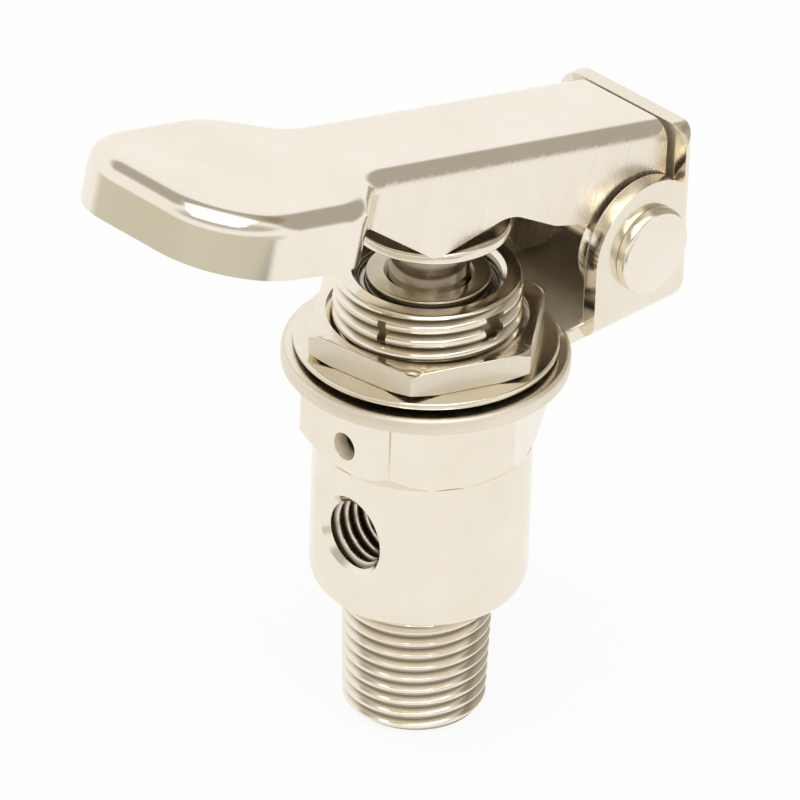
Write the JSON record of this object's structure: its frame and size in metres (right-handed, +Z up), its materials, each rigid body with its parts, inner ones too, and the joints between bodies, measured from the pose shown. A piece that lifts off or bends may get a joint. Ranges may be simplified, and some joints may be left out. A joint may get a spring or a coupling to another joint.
{
  "type": "lever operated pneumatic valve",
  "caption": "Small plated hand lever air valve with a tapered pipe spigot, side port, hexagon body, clamp nut, and a pivoting spoon lever that presses a plunger.",
  "frame": {"origin": "on the valve's axis, in the plane of the body's lower shoulder where the pipe thread begins", "axes": "+Z up along the valve's axis from the pipe thread towards the plunger; the spoon of the lever and the side port point to -X, the bracket's rear web is at +X, and the pivot pin's head is on the -Y side"},
  "size_m": [0.0435, 0.0182, 0.0477],
  "materials": {
    "nickel_plate": "bright nickel plating over turned brass",
    "pressed_steel": "bright nickel plating over pressed steel sheet, sides brushed",
    "turned_steel": "fine turned stainless steel",
    "spring_steel": "drawn spring wire and sprung strip",
    "bare_brass": "fine turned brass",
    "seal_rubber": "black nitrile rubber"
  },
  "bodies": {
    "housing": {"valve_body": "nickel_plate", "bracket": "pressed_steel", "lock_washer": "pressed_steel", "clamp_nut": "nickel_plate", "guide_bush": "turned_steel", "bush_keeper": "spring_steel", "wiper_seal": "seal_rubber", "return_spring": "spring_steel", "seat_ring": "bare_brass", "poppet_spring": "spring_steel", "spring_retainer": "bare_brass", "retainer_clip": "spring_steel", "pivot_pin": "nickel_plate", "pin_clip": "spring_steel"},
    "lever": {"lever": "pressed_steel"},
    "plunger": {"plunger_stem": "turned_steel", "plunger_disc": "nickel_plate", "lower_seal": "seal_rubber"},
    "poppet": {"poppet": "bare_brass", "poppet_facing": "seal_rubber"}
  },
  "joints": [
    {"name": "lever_hinge", "type": "hinge", "parent": "housing", "child": "lever", "pos_m": [0.014, 0, 0.0215], "axis": [0, -1, 0], "range_deg": [0, 6.5], "stiffness_Nm_per_rad": 0.6, "springref_deg": -11.46},
    {"name": "plunger_slide", "type": "slide", "parent": "housing", "child": "plunger", "axis": [0, 0, -1], "range_m": [0, 0.00202], "deforming": ["return_spring"]},
    {"name": "poppet_slide", "type": "slide", "parent": "housing", "child": "poppet", "axis": [0, 0, -1], "range_m": [0, 0.00154], "deforming": ["poppet_spring"]}
  ],
  "couplings": [
    {"joint": "plunger_slide", "follows": "lever_hinge", "m_per_rad": 0.01775},
    {"joint": "poppet_slide", "follows": "lever_hinge", "m_per_rad": 0.01349}
  ]
}
